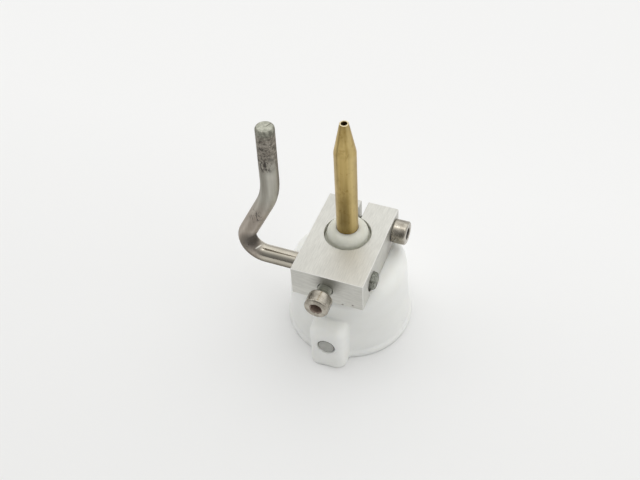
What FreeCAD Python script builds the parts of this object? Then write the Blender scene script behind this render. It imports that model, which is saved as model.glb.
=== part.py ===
import FreeCAD, Part
import math
import os

# An ignition electrode of a gas burner. A white insulating cup carries a brass electrode in an
# insulating sleeve. A slotted aluminium clamp on the neck of the sleeve holds a bent earth rod
# beside the electrode, and one screw sets the clamp while another sets the rod.
#
# All sizes are in millimetres. The origin is the centre of the cup's open base. +Z runs up along
# the electrode. The clamp block's length lies along Y, with its rod end towards -Y, and the rod
# leaves the block towards -X.

V = FreeCAD.Vector
X_AXIS = V(1, 0, 0)
Y_AXIS = V(0, 1, 0)
Z_AXIS = V(0, 0, 1)

# Gaps
FIT_GAP = 0.05              # radial gap of a round fit, fixed or moving
TURN_GAP = 0.3              # height of the gap between the cup and the clamp that turns on it
TOUCH_GAP = 0.1             # gap between a screw and the face it tightens on

# Insulating cup
CUP_LIP_RADIUS = 18.2
CUP_LIP_HEIGHT = 2.2
CUP_BASE_RADIUS = 17.5      # wall just above the lip
CUP_TOP_RADIUS = 16.6       # wall just below the shoulder
CUP_SHOULDER = 3.5
CUP_HEIGHT = 23.2
CUP_CEILING = 19.2
CAVITY_RADIUS = 14.5
CAVITY_CORNER = 2.0
REGISTER_RADIUS = 16.0      # the step that drops over the burner's round seat
REGISTER_DEPTH = 3.0

# Boss on the cup and the pin through it
BOSS_TURN = 2.2             # degrees about Z, front end towards +X
BOSS_HALF_WIDTH = 5.2
BOSS_REACH = 22.1           # front face, measured from the axis
BOSS_ROOT = 12.0            # buried end, measured from the axis
BOSS_HEIGHT = 15.2
BOSS_EDGE = 2.2
BOSS_TOP_EDGE = 3.0
PIN_RADIUS = 2.5
PIN_HEIGHT = 8.8
PIN_RECESS = 0.3
PIN_INNER_END = 13.0        # stands into the cavity, as a stop against turning
PIN_CHAMFER = 0.4

# Insulating sleeve
SLEEVE_SPIGOT_RADIUS = 5.0
SLEEVE_NECK_RADIUS = 6.45
SLEEVE_NECK_TOP = 31.6
SLEEVE_CAP_RADIUS = 5.75
SLEEVE_CAP_BASE = 32.2
SLEEVE_TOP = 35.6
SLEEVE_DOME = 2.4

# Centre electrode
ELECTRODE_RADIUS = 3.0
ELECTRODE_SHOULDER = 20.6   # rests on the step inside the sleeve
ELECTRODE_CONE_BASE = 63.0
ELECTRODE_TIP = 72.4
ELECTRODE_TIP_RADIUS = 1.2
TIP_HOLE_RADIUS = 0.75
TIP_HOLE_DEPTH = 15.0
M5_RADIUS = 2.5
M5_ROOT = 2.07
M5_PITCH = 0.8
ELECTRODE_THREAD_BASE = 10.2
TERMINAL_RADIUS = 2.0
TERMINAL_END = 3.4
TERMINAL_CHAMFER = 0.5

# Washers and nut under the ceiling of the cup
WASHER_RADIUS = 5.0
WASHER_BORE = 2.65
WASHER_THICKNESS = 1.0
SPRING_WASHER_RADIUS = 4.6
SPRING_WASHER_THICKNESS = 1.2
SPRING_WASHER_SLIT = 0.8
NUT_ACROSS_FLATS = 8.0
NUT_HEIGHT = 4.0

# Clamp block
BLOCK_LEFT = -10.1
BLOCK_RIGHT = 10.5
BLOCK_FRONT = -17.4
BLOCK_BACK = 13.0
BLOCK_THICKNESS = 9.6
BLOCK_BORE_RADIUS = SLEEVE_NECK_RADIUS + FIT_GAP
BLOCK_EDGE = 0.2
SLOT_WIDTH = 2.0
SLOT_X = 0.6

# Screws
M4_RADIUS = 2.0
M4_ROOT = 1.57
M4_PITCH = 0.7
M4_HEAD_RADIUS = 3.4
M4_HEAD_HEIGHT = 4.0
M4_HEAD_ROUND = 0.45
M4_SOCKET_ACROSS_FLATS = 3.0
M4_SOCKET_DEPTH = 2.2
HOLE_CHAMFER = 0.3
ROD_SCREW_LENGTH = 8.0
ROD_SCREW_X = -0.3
ROD_SCREW_Z = 28.2
CLAMP_SCREW_LENGTH = 16.0
CLAMP_SCREW_Y = 8.8
CLAMP_SCREW_Z = 28.7
CLAMP_CLEARANCE_RADIUS = 2.25

# Earth rod, bent in one upright plane
ROD_RADIUS = 2.5
ROD_HOLE_RADIUS = 2.9       # its screw presses the rod to the back of this hole
ROD_Y = -9.9
ROD_Z = 27.8
ROD_END_X = 11.8            # stands just out of the block's far side
ROD_LOW_CORNER_X = -29.1
ROD_HIGH_CORNER_X = -17.15
ROD_HIGH_CORNER_Z = 52.1
ROD_TOP_X = -16.9           # the upright part leans a little towards the electrode
ROD_TOP_Z = 75.0
ROD_LOW_BEND = 5.5
ROD_HIGH_BEND = 21.2
ROD_END_ROUND = 0.8

# Places that follow from the sizes above
BLOCK_BASE_Z = CUP_HEIGHT + TURN_GAP
WASHER_BASE_Z = CUP_CEILING - WASHER_THICKNESS
SPRING_WASHER_BASE_Z = WASHER_BASE_Z - SPRING_WASHER_THICKNESS
NUT_BASE_Z = SPRING_WASHER_BASE_Z - NUT_HEIGHT
ROD_HOLE_Y = ROD_Y + ROD_RADIUS + FIT_GAP - ROD_HOLE_RADIUS


def corner_arc(before, corner, after, radius):
    """Start, middle and end of the arc that rounds a corner."""
    to_before = (before - corner).normalize()
    to_after = (after - corner).normalize()
    half_angle = to_before.getAngle(to_after) / 2
    setback = radius / math.tan(half_angle)
    inward = (to_before + to_after).normalize()
    centre = corner + inward * (radius / math.sin(half_angle))
    return (corner + to_before * setback, centre - inward * radius, corner + to_after * setback)


def rounded_wire(points, radii, closed):
    """Straight runs through the points, with an arc at each corner that has a radius."""
    count = len(points)
    corners = []
    for index, (point, radius) in enumerate(zip(points, radii)):
        if radius:
            after = points[(index + 1) % count]
            corners.append(corner_arc(points[index - 1], point, after, radius))
        else:
            corners.append((point,))
    edges = []
    for index, corner in enumerate(corners):
        if len(corner) > 1:
            edges.append(Part.Arc(*corner).toShape())
        if closed or index + 1 < count:
            following = corners[(index + 1) % count]
            edges.append(Part.LineSegment(corner[-1], following[0]).toShape())
    return Part.Wire(edges)


def turned(profile):
    """A solid turned about Z from (radius, height) or (radius, height, rounding) points."""
    points = [V(point[0], 0, point[1]) for point in profile]
    radii = [point[2] if len(point) > 2 else 0 for point in profile]
    face = Part.Face(rounded_wire(points, radii, closed=True))
    return face.revolve(V(0, 0, 0), Z_AXIS, 360)


def ring(outer, inner, base, height):
    """A flat ring about Z."""
    disc = Part.makeCylinder(outer, height, V(0, 0, base))
    return disc.cut(Part.makeCylinder(inner, height, V(0, 0, base)))


def hexagon_prism(across_flats, height, base):
    """A six-sided prism about Z."""
    corner_radius = across_flats / math.sqrt(3)
    angles = [math.radians(60 * step) for step in range(7)]
    points = [V(corner_radius * math.cos(a), corner_radius * math.sin(a), base) for a in angles]
    return Part.Face(Part.makePolygon(points)).extrude(Z_AXIS * height)


def thread_profile(major, root, pitch, start, end):
    """Profile points of ring grooves that stand for a thread, from one height up to another."""
    flat = pitch / 8
    flank = pitch / 2 - flat
    points = []
    for turn in range(int((end - start) / pitch)):
        height = start + turn * pitch
        points.append((major, height))
        points.append((major, height + flat))
        points.append((root, height + flat + flank))
        points.append((root, height + 2 * flat + flank))
    return points


def chamfered_hole(radius, mouth, inner_end, chamfer=HOLE_CHAMFER):
    """A cutter from a hole's mouth to its inner end, with a chamfer at the mouth."""
    along = inner_end - mouth
    direction = V(along).normalize()
    hole = Part.makeCylinder(radius, along.Length, mouth, direction)
    return hole.fuse(Part.makeCone(radius + chamfer, radius, chamfer, mouth, direction))


def socket_screw(length):
    """An M4 socket head screw about Z, with the base of its head at height 0."""
    tip_chamfer = 0.4
    profile = [(0, -length), (M4_RADIUS - tip_chamfer, -length)]
    profile += thread_profile(M4_RADIUS, M4_ROOT, M4_PITCH, tip_chamfer - length, -M4_PITCH / 2)
    profile += [
        (M4_ROOT, 0),
        (M4_HEAD_RADIUS, 0, 0.2),
        (M4_HEAD_RADIUS, M4_HEAD_HEIGHT, M4_HEAD_ROUND),
        (0, M4_HEAD_HEIGHT),
    ]
    socket_floor = M4_HEAD_HEIGHT - M4_SOCKET_DEPTH
    socket = hexagon_prism(M4_SOCKET_ACROSS_FLATS, M4_SOCKET_DEPTH, socket_floor)
    drill_radius = M4_SOCKET_ACROSS_FLATS / 2
    drill_point = Part.makeCone(0, drill_radius, 0.8, V(0, 0, socket_floor - 0.8))
    return turned(profile).cut(socket.fuse(drill_point))


def placed(shape, position, direction):
    """The shape with its own Z turned to a direction and its origin moved to a position."""
    turn = FreeCAD.Rotation(Z_AXIS, direction)
    moved = shape.copy()
    moved.Placement = FreeCAD.Placement(position, turn)
    return moved


def turn_with_boss(shape):
    """The shape turned about Z by the boss's own angle."""
    turned_shape = shape.copy()
    turned_shape.rotate(V(0, 0, 0), Z_AXIS, BOSS_TURN)
    return turned_shape


def make_boss():
    """The block on the cup's front, with its upper and upright front edges rounded."""
    width = 2 * BOSS_HALF_WIDTH
    corner = V(-BOSS_HALF_WIDTH, -BOSS_REACH, 0)
    block = Part.makeBox(width, BOSS_REACH - BOSS_ROOT, BOSS_HEIGHT, corner)
    upright = []
    for edge in block.Edges:
        middle = edge.CenterOfMass
        if abs(middle.y + BOSS_REACH) < 1e-6 and abs(abs(middle.x) - BOSS_HALF_WIDTH) < 1e-6:
            upright.append(edge)
    block = block.makeFillet(BOSS_EDGE, upright)
    top = [
        edge for edge in block.Edges
        if edge.BoundBox.ZMin > BOSS_HEIGHT - 1e-6 and edge.CenterOfMass.y < -BOSS_ROOT - 1e-3
    ]
    return turn_with_boss(block.makeFillet(BOSS_TOP_EDGE, top))


def make_insulator_cup():
    """The cup: a lipped bell with a boss on its front and a hole in its top for the sleeve."""
    hole_radius = SLEEVE_SPIGOT_RADIUS + FIT_GAP
    bell = turned([
        (0, 0),
        (CUP_LIP_RADIUS, 0, 0.4),
        (CUP_LIP_RADIUS, CUP_LIP_HEIGHT, 0.5),
        (CUP_BASE_RADIUS, CUP_LIP_HEIGHT, 0.3),
        (CUP_TOP_RADIUS, CUP_HEIGHT - CUP_SHOULDER),
        (CUP_TOP_RADIUS, CUP_HEIGHT, CUP_SHOULDER - 0.01),
        (0, CUP_HEIGHT),
    ])
    inside = turned([
        (0, 0),
        (REGISTER_RADIUS, 0),
        (REGISTER_RADIUS, REGISTER_DEPTH),
        (CAVITY_RADIUS, REGISTER_DEPTH),
        (CAVITY_RADIUS, CUP_CEILING, CAVITY_CORNER),
        (0, CUP_CEILING),
    ])
    sleeve_hole = Part.makeCylinder(hole_radius, CUP_HEIGHT, V(0, 0, 0))
    pin_hole = Part.makeCylinder(
        PIN_RADIUS + FIT_GAP, BOSS_REACH, V(0, -BOSS_REACH, PIN_HEIGHT), Y_AXIS)
    solid = bell.fuse(make_boss())
    return solid.cut([inside, sleeve_hole, turn_with_boss(pin_hole)]).removeSplitter()


def make_locating_pin():
    """The dowel through the boss and the cup's wall."""
    length = BOSS_REACH - PIN_RECESS - PIN_INNER_END
    dowel = turned([
        (0, 0),
        (PIN_RADIUS - PIN_CHAMFER, 0),
        (PIN_RADIUS, PIN_CHAMFER),
        (PIN_RADIUS, length - PIN_CHAMFER),
        (PIN_RADIUS - PIN_CHAMFER, length),
        (0, length),
    ])
    dowel = placed(dowel, V(0, -PIN_INNER_END, PIN_HEIGHT), -Y_AXIS)
    return turn_with_boss(dowel)


def make_insulating_sleeve():
    """The flanged bush that carries the electrode and gives the clamp its round neck."""
    thread_bore = M5_RADIUS + FIT_GAP
    shank_bore = ELECTRODE_RADIUS + FIT_GAP
    return turned([
        (thread_bore, CUP_CEILING),
        (SLEEVE_SPIGOT_RADIUS, CUP_CEILING),
        (SLEEVE_SPIGOT_RADIUS, CUP_HEIGHT),
        (SLEEVE_NECK_RADIUS, CUP_HEIGHT),
        (SLEEVE_NECK_RADIUS, SLEEVE_NECK_TOP),
        (SLEEVE_CAP_RADIUS, SLEEVE_CAP_BASE),
        (SLEEVE_CAP_RADIUS, SLEEVE_TOP, SLEEVE_DOME),
        (shank_bore, SLEEVE_TOP),
        (shank_bore, ELECTRODE_SHOULDER),
        (thread_bore, ELECTRODE_SHOULDER),
    ])


def make_centre_electrode():
    """The brass electrode: terminal stud, thread, shank, and a cone with a hole in its tip."""
    hole_bottom = ELECTRODE_TIP - TIP_HOLE_DEPTH
    profile = [
        (0, TERMINAL_END),
        (TERMINAL_RADIUS - TERMINAL_CHAMFER, TERMINAL_END),
        (TERMINAL_RADIUS, TERMINAL_END + TERMINAL_CHAMFER),
        (TERMINAL_RADIUS, ELECTRODE_THREAD_BASE),
    ]
    thread_start = ELECTRODE_THREAD_BASE + M5_RADIUS - TERMINAL_RADIUS
    profile += thread_profile(M5_RADIUS, M5_ROOT, M5_PITCH, thread_start, WASHER_BASE_Z)
    profile += [
        (M5_RADIUS, WASHER_BASE_Z),
        (M5_RADIUS, ELECTRODE_SHOULDER),
        (ELECTRODE_RADIUS, ELECTRODE_SHOULDER),
        (ELECTRODE_RADIUS, ELECTRODE_CONE_BASE),
        (ELECTRODE_TIP_RADIUS, ELECTRODE_TIP),
        (TIP_HOLE_RADIUS, ELECTRODE_TIP),
        (TIP_HOLE_RADIUS, hole_bottom),
        (0, hole_bottom - TIP_HOLE_RADIUS / 2),
    ]
    return turned(profile)


def make_electrode_washer():
    """The plain washer against the ceiling of the cup."""
    return ring(WASHER_RADIUS, WASHER_BORE, WASHER_BASE_Z, WASHER_THICKNESS)


def make_electrode_spring_washer():
    """The split washer between the plain washer and the nut."""
    washer = ring(
        SPRING_WASHER_RADIUS, WASHER_BORE, SPRING_WASHER_BASE_Z, SPRING_WASHER_THICKNESS)
    slit_corner = V(0, -SPRING_WASHER_SLIT / 2, SPRING_WASHER_BASE_Z - 1)
    slit = Part.makeBox(2 * SPRING_WASHER_RADIUS, SPRING_WASHER_SLIT, 4, slit_corner)
    slit.rotate(V(0, 0, SPRING_WASHER_BASE_Z + SPRING_WASHER_THICKNESS / 2), X_AXIS, 20)
    return washer.cut(slit)


def make_electrode_nut():
    """The M5 nut that draws the electrode's shoulder down on the sleeve."""
    nut = hexagon_prism(NUT_ACROSS_FLATS, NUT_HEIGHT, NUT_BASE_Z)
    flat_radius = NUT_ACROSS_FLATS / 2
    corner_radius = NUT_ACROSS_FLATS / math.sqrt(3)
    fall = (corner_radius - flat_radius) * math.tan(math.radians(30))
    top = NUT_BASE_Z + NUT_HEIGHT
    envelope = turned([
        (0, NUT_BASE_Z),
        (flat_radius, NUT_BASE_Z),
        (corner_radius, NUT_BASE_Z + fall),
        (corner_radius, top - fall),
        (flat_radius, top),
        (0, top),
    ])
    bore = Part.makeCylinder(M5_RADIUS + FIT_GAP, NUT_HEIGHT, V(0, 0, NUT_BASE_Z))
    return nut.common(envelope).cut(bore)


def make_clamp_block():
    """The slotted block: neck bore, slot, rod hole, and the holes of its two screws."""
    width = BLOCK_RIGHT - BLOCK_LEFT
    length = BLOCK_BACK - BLOCK_FRONT
    corner = V(BLOCK_LEFT, BLOCK_FRONT, BLOCK_BASE_Z)
    block = Part.makeBox(width, length, BLOCK_THICKNESS, corner)
    block = block.makeChamfer(BLOCK_EDGE, block.Edges)
    neck_bore = Part.makeCylinder(BLOCK_BORE_RADIUS, BLOCK_THICKNESS, V(0, 0, BLOCK_BASE_Z))
    slot = Part.makeBox(
        SLOT_WIDTH, BLOCK_BACK, BLOCK_THICKNESS, V(SLOT_X - SLOT_WIDTH / 2, 0, BLOCK_BASE_Z))
    rod_hole = chamfered_hole(
        ROD_HOLE_RADIUS,
        V(BLOCK_LEFT, ROD_HOLE_Y, ROD_Z),
        V(BLOCK_RIGHT, ROD_HOLE_Y, ROD_Z))
    rod_screw_hole = chamfered_hole(
        M4_RADIUS + FIT_GAP,
        V(ROD_SCREW_X, BLOCK_FRONT, ROD_SCREW_Z),
        V(ROD_SCREW_X, ROD_Y, ROD_SCREW_Z))
    clamp_clearance_hole = chamfered_hole(
        CLAMP_CLEARANCE_RADIUS,
        V(BLOCK_RIGHT, CLAMP_SCREW_Y, CLAMP_SCREW_Z),
        V(SLOT_X, CLAMP_SCREW_Y, CLAMP_SCREW_Z))
    clamp_thread_hole = chamfered_hole(
        M4_RADIUS + FIT_GAP,
        V(BLOCK_LEFT, CLAMP_SCREW_Y, CLAMP_SCREW_Z),
        V(SLOT_X, CLAMP_SCREW_Y, CLAMP_SCREW_Z))
    return block.cut([
        neck_bore, slot, rod_hole, rod_screw_hole, clamp_clearance_hole, clamp_thread_hole])


def make_rod_screw():
    """The screw in the block's front face, its tip on the rod."""
    tip_y = ROD_Y - ROD_RADIUS - TOUCH_GAP
    head_base = V(ROD_SCREW_X, tip_y - ROD_SCREW_LENGTH, ROD_SCREW_Z)
    return placed(socket_screw(ROD_SCREW_LENGTH), head_base, -Y_AXIS)


def make_clamp_screw():
    """The screw across the slot, its head on the block's right face."""
    head_base = V(BLOCK_RIGHT + TOUCH_GAP, CLAMP_SCREW_Y, CLAMP_SCREW_Z)
    return placed(socket_screw(CLAMP_SCREW_LENGTH), head_base, X_AXIS)


def make_ignition_rod():
    """The bent earth rod: through the block, out, back up towards the electrode, and upright."""
    points = [
        V(ROD_END_X, ROD_Y, ROD_Z),
        V(ROD_LOW_CORNER_X, ROD_Y, ROD_Z),
        V(ROD_HIGH_CORNER_X, ROD_Y, ROD_HIGH_CORNER_Z),
        V(ROD_TOP_X, ROD_Y, ROD_TOP_Z),
    ]
    path = rounded_wire(points, [0, ROD_LOW_BEND, ROD_HIGH_BEND, 0], closed=False)
    section = Part.Wire(Part.makeCircle(ROD_RADIUS, points[0], -X_AXIS))
    rod = path.makePipeShell([section], True, True)
    ends = []
    for edge in rod.Edges:
        for end_point in (points[0], points[-1]):
            if isinstance(edge.Curve, Part.Circle) and edge.Curve.Center.isEqual(end_point, 1e-3):
                ends.append(edge)
    return rod.makeFillet(ROD_END_ROUND, ends)


def main():
    parts = {
        "insulator_cup": make_insulator_cup,
        "locating_pin": make_locating_pin,
        "insulating_sleeve": make_insulating_sleeve,
        "centre_electrode": make_centre_electrode,
        "electrode_washer": make_electrode_washer,
        "electrode_spring_washer": make_electrode_spring_washer,
        "electrode_nut": make_electrode_nut,
        "clamp_block": make_clamp_block,
        "rod_screw": make_rod_screw,
        "clamp_screw": make_clamp_screw,
        "ignition_rod": make_ignition_rod,
    }
    os.makedirs("parts", exist_ok=True)
    for name, make in parts.items():
        shape = make()
        box = shape.BoundBox
        shape.exportStep(os.path.join("parts", name + ".step"))
        print(
            f"{name:26s} solids {len(shape.Solids)} valid {shape.isValid()} "
            f"volume {shape.Volume:9.1f} "
            f"x {box.XMin:7.2f} {box.XMax:7.2f} "
            f"y {box.YMin:7.2f} {box.YMax:7.2f} "
            f"z {box.ZMin:7.2f} {box.ZMax:7.2f}")


main()
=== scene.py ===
import math
from functools import partial, reduce

import bmesh
import bpy
from mathutils import Matrix, Vector


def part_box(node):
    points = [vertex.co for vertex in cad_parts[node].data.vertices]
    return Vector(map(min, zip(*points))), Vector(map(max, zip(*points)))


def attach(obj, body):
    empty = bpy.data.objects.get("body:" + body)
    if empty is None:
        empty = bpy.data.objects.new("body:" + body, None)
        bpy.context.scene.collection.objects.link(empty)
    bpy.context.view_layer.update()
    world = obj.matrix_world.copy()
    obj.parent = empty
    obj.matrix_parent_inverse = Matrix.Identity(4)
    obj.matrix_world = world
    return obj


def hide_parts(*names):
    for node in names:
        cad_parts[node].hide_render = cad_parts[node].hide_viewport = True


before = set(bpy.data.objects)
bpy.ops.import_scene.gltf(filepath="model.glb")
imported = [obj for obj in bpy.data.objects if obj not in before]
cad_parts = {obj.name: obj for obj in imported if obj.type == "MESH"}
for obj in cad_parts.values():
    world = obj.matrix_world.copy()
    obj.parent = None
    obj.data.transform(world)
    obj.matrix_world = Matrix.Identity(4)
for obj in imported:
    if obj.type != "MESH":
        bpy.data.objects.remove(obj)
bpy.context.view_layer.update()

# Lengths in this script are millimetres in the part's own frame, and MM turns them into metres.
# The origin is the centre of the cup's open base, +Z runs up along the electrode, and -Y faces
# the front of the clamp block.
MM = 0.001
X_AXIS = (1, 0, 0)
Y_AXIS = (0, 1, 0)
Z_AXIS = (0, 0, 1)

# Mesh making: how far a cutting tool starts outside its surface, how near points are merged, the
# radius below which a ring is one point, and how sharp a corner an inset outline can follow
OVERSHOOT = 1
WELD_DISTANCE = 1e-4
POINT_RADIUS = 1e-6
MITRE_LIMIT = 0.3

# Fineness: the turn between points on a rounded corner, and the sides of each round piece
ARC_STEP = math.radians(10)
ROD_ARC_STEP = math.radians(4)
CUP_SEGMENTS = 180
SLEEVE_SEGMENTS = 120
TURNED_SEGMENTS = 96
ROD_SEGMENTS = 72
SCREW_SEGMENTS = 72
HOLE_SEGMENTS = 64

# The gap round every piece that turns, screws in or is pushed in, and the chamfer of a hole
FIT_GAP = 0.05
HOLE_CHAMFER = 0.25


def cad_box(node):
    """Lowest and highest corner of a CAD node, in millimetres."""
    low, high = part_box(node)
    return low / MM, high / MM


CUP_HIGH = cad_box("insulator_cup")[1]
SLEEVE_LOW, SLEEVE_HIGH = cad_box("insulating_sleeve")
ELECTRODE_LOW, ELECTRODE_HIGH = cad_box("centre_electrode")
BLOCK_LOW, BLOCK_HIGH = cad_box("clamp_block")
ROD_LOW, ROD_HIGH = cad_box("ignition_rod")
ROD_SCREW_LOW, ROD_SCREW_HIGH = cad_box("rod_screw")
CLAMP_SCREW_LOW, CLAMP_SCREW_HIGH = cad_box("clamp_screw")
PIN_LOW, PIN_HIGH = cad_box("locating_pin")
NUT_LOW, NUT_HIGH = cad_box("electrode_nut")
WASHER_LOW, WASHER_HIGH = cad_box("electrode_washer")
SPRING_LOW, SPRING_HIGH = cad_box("electrode_spring_washer")

# Camera, fitted to the photograph's view
CAMERA_AZIMUTH = math.radians(23.65)
CAMERA_ELEVATION = math.radians(47.19)
CAMERA_ROLL = math.radians(-3.66)
CAMERA_DISTANCE = 278.5
CAMERA_AIM = Vector((0, 0, 31.1))
CAMERA_OFFSET_RIGHT = -7.73
CAMERA_OFFSET_UP = -0.22
CAMERA_LENS = 56.7
CAMERA_SENSOR = 36

# Cup
LIP_HEIGHT = 2.2
CUP_BASE_RADIUS = 17.5
CUP_TOP_RADIUS = 16.6
CUP_SHOULDER = 3.5
CUP_CEILING = SLEEVE_LOW.z
CAVITY_RADIUS = 14.5
CAVITY_ROUND = 2.0
REGISTER_RADIUS = 16.0
REGISTER_DEPTH = 3.0
BOSS_TURN = math.radians(2.2)
BOSS_HALF_WIDTH = 5.2
BOSS_REACH = 22.1
BOSS_ROOT = 12.0
BOSS_HEIGHT = 15.2
BOSS_CORNER = 2.7
BOSS_TOP_ROUND = 2.6
BOSS_BASE_ROUND = 0.4
PIN_HOLE_END = 5
CUP_VOXEL = 0.28

# Round pieces
PIN_RADIUS = 2.5
PIN_RECESS = 0.3
PIN_INNER_END = 13.0
PIN_END_ROUND = 0.35
SPIGOT_RADIUS = 5.0
NECK_RADIUS = SLEEVE_HIGH.x
NECK_TOP = 31.6
CAP_RADIUS = 5.75
CAP_BASE = 32.2
CAP_ROUND = 2.4
SHANK_RADIUS = ELECTRODE_HIGH.x
TIP_RADIUS = 1.2
CONE_BASE = 63.0
CONE_ROUND = 4
ELECTRODE_SHOULDER = 20.6
TERMINAL_RADIUS = 2.0
TERMINAL_TOP = 10.2
TIP_HOLE_RADIUS = 0.75
TIP_HOLE_DEPTH = 15.0

# Washers and nut
WASHER_BORE_GAP = 0.15
SPRING_SPLIT = math.radians(11)
SPRING_LEAN = 0.04
NUT_CORNER_FALL = 0.35
NUT_CHAMFER = 0.3

# Earth rod, its two bends given as the corners of its middle line
ROD_RADIUS = 2.5
ROD_Y = (ROD_LOW.y + ROD_HIGH.y) / 2
ROD_Z = ROD_LOW.z + ROD_RADIUS
ROD_LOW_CORNER_X = -29.1
ROD_HIGH_CORNER_X = -17.15
ROD_HIGH_CORNER_Z = 52.1
ROD_LOW_BEND = 5.5
ROD_HIGH_BEND = 21.2
ROD_TOP = Vector((-16.9, ROD_Y, 75.0))
ROD_END_ROUND = 0.8

# Clamp block
BORE_RADIUS = NECK_RADIUS + FIT_GAP
ROD_HOLE_RADIUS = 2.9
CLAMP_CLEARANCE_RADIUS = 2.25
SLOT_WIDTH = 2.0
SLOT_X = 0.6
BLOCK_CORNER = 0.22
BLOCK_EDGE_ROUND = 0.18

# Threads: outer radius, root radius and pitch, then the shape of a flank
M4 = (2.0, 1.57, 0.7)
M5 = (2.5, 2.07, 0.8)
ROWS_PER_PITCH = 10
FLANK_STEEPNESS = 1.25
FLANK_START = 0.125
M5_RUN_IN = 0.43

# Socket screws
ROD_SCREW_X = (ROD_SCREW_LOW.x + ROD_SCREW_HIGH.x) / 2
ROD_SCREW_Z = (ROD_SCREW_LOW.z + ROD_SCREW_HIGH.z) / 2
CLAMP_SCREW_Y = (CLAMP_SCREW_LOW.y + CLAMP_SCREW_HIGH.y) / 2
CLAMP_SCREW_Z = (CLAMP_SCREW_LOW.z + CLAMP_SCREW_HIGH.z) / 2
HEAD_RADIUS = 3.4
HEAD_HEIGHT = 4.0
SOCKET_FLAT = 1.5
SOCKET_DEPTH = 2.2
SOCKET_CONE = 0.7
SOCKET_MOUTH_RADIUS = 1.85
SCREW_TIP_RADIUS = 1.5

# Where the marks of use lie on the part, with the painted shade of the dents, the painted shadow
# beside the clamp screw's head and the painted shade in the rod's low bend
CUP_SPECK = (17.2, -3.05, 4.95)
BLOCK_DENTS = (
    ((4.6, BLOCK_LOW.y, BLOCK_LOW.z + 0.3), 0.20),
    ((7.5, BLOCK_LOW.y, BLOCK_LOW.z + 1.1), 0.15))
CLAMP_HEAD_SHADOW = (BLOCK_HIGH.x, CLAMP_SCREW_Y - 3.6, CLAMP_SCREW_Z - 1.5)
SOOT_FOOT = ROD_TOP.z - 13.6
SLOPE_FLECKS = (-21.3, -12.3, 44.6)
BEND_FLECKS = (-24.8, -12.2, 32.3)
BEND_SHADE = (-23.4, -11.3, 33.5)
BEND_NICK = ((-22.7, -11.7, 30.7), (-21.7, -10.0, 30.9))
TOP_SCRATCH = (ROD_TOP + Vector((0.35, 0.2, 0)), ROD_TOP + Vector((1.2, 1.9, 0)))

# Studio: the floor's reach, then the lamp tube's place, target and size in metres
FLOOR_REACH = 1500
LAMP_PLACE = Vector((-0.12, -0.15, 1.15))
LAMP_TARGET = Vector((0, 0, 0.03))
LAMP_SIZE = (1.2, 0.10)
LAMP_WATTS = 1.0


# ---------------------------------------------------------------- mesh helpers

def corner_arc(before, corner, after, radius, step=ARC_STEP):
    """Points of the arc that rounds one corner between two straight runs."""
    to_before = (before - corner).normalized()
    to_after = (after - corner).normalized()
    half = to_before.angle(to_after) / 2
    centre = corner + (to_before + to_after).normalized() * (radius / math.sin(half))
    start = corner + to_before * (radius / math.tan(half)) - centre
    end = corner + to_after * (radius / math.tan(half)) - centre
    turn = math.pi - 2 * half
    steps = max(3, math.ceil(turn / step))
    points = []
    for index in range(steps + 1):
        share = index / steps
        weights = math.sin((1 - share) * turn), math.sin(share * turn)
        points.append(centre + (start * weights[0] + end * weights[1]) / math.sin(turn))
    return points


def rounded(points, closed=False, step=ARC_STEP):
    """Points given as coordinates with a last value for the rounding radius, corners rounded."""
    corners = [Vector((*point[:-1], 0)[:3]) for point in points]
    count = len(points)
    result = []
    for index, point in enumerate(points):
        if point[-1] > 0 and (closed or 0 < index < count - 1):
            after = corners[(index + 1) % count]
            result += corner_arc(corners[index - 1], corners[index], after, point[-1], step)
        else:
            result.append(corners[index])
    return result


def make_object(name, bm):
    """An object in metres from a bmesh in millimetres."""
    bmesh.ops.remove_doubles(bm, verts=bm.verts, dist=WELD_DISTANCE)
    bmesh.ops.dissolve_degenerate(bm, dist=WELD_DISTANCE, edges=bm.edges)
    bmesh.ops.recalc_face_normals(bm, faces=bm.faces)
    bmesh.ops.scale(bm, vec=(MM, MM, MM), verts=bm.verts)
    mesh = bpy.data.meshes.new(name)
    bm.to_mesh(mesh)
    bm.free()
    thing = bpy.data.objects.new(name, mesh)
    bpy.context.scene.collection.objects.link(thing)
    return thing


def join_rings(bm, rings, closed):
    """Faces between neighbouring rings. A ring of one vertex is a pole."""
    pairs = list(zip(rings, rings[1:]))
    if closed:
        pairs.append((rings[-1], rings[0]))
    for lower, upper in pairs:
        count = max(len(lower), len(upper))
        if count == 1:
            continue
        for index in range(count):
            following = (index + 1) % count
            corners = [lower[index % len(lower)], lower[following % len(lower)]]
            corners += [upper[following % len(upper)], upper[index % len(upper)]]
            unique = list(dict.fromkeys(corners))
            bm.faces.new(unique)


def add_lathe(bm, profile, segments, closed=False, matrix=Matrix()):
    """Turns (radius, height) or (radius, height, flats) points about Z.
    Where flats is a number, that ring is a polygon with so many sides and that inner radius."""
    rings = []
    for point in profile:
        radius, height = point[0], point[1]
        flats = point[2] if len(point) > 2 else 0
        if radius < POINT_RADIUS:
            rings.append([bm.verts.new(matrix @ Vector((0, 0, height)))])
            continue
        ring = []
        for index in range(segments):
            angle = 2 * math.pi * index / segments
            reach = radius
            if flats:
                sector = 2 * math.pi / flats
                reach = radius / math.cos((angle + sector / 2) % sector - sector / 2)
            place = Vector((reach * math.cos(angle), reach * math.sin(angle), height))
            ring.append(bm.verts.new(matrix @ place))
        rings.append(ring)
    join_rings(bm, rings, closed)


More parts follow.
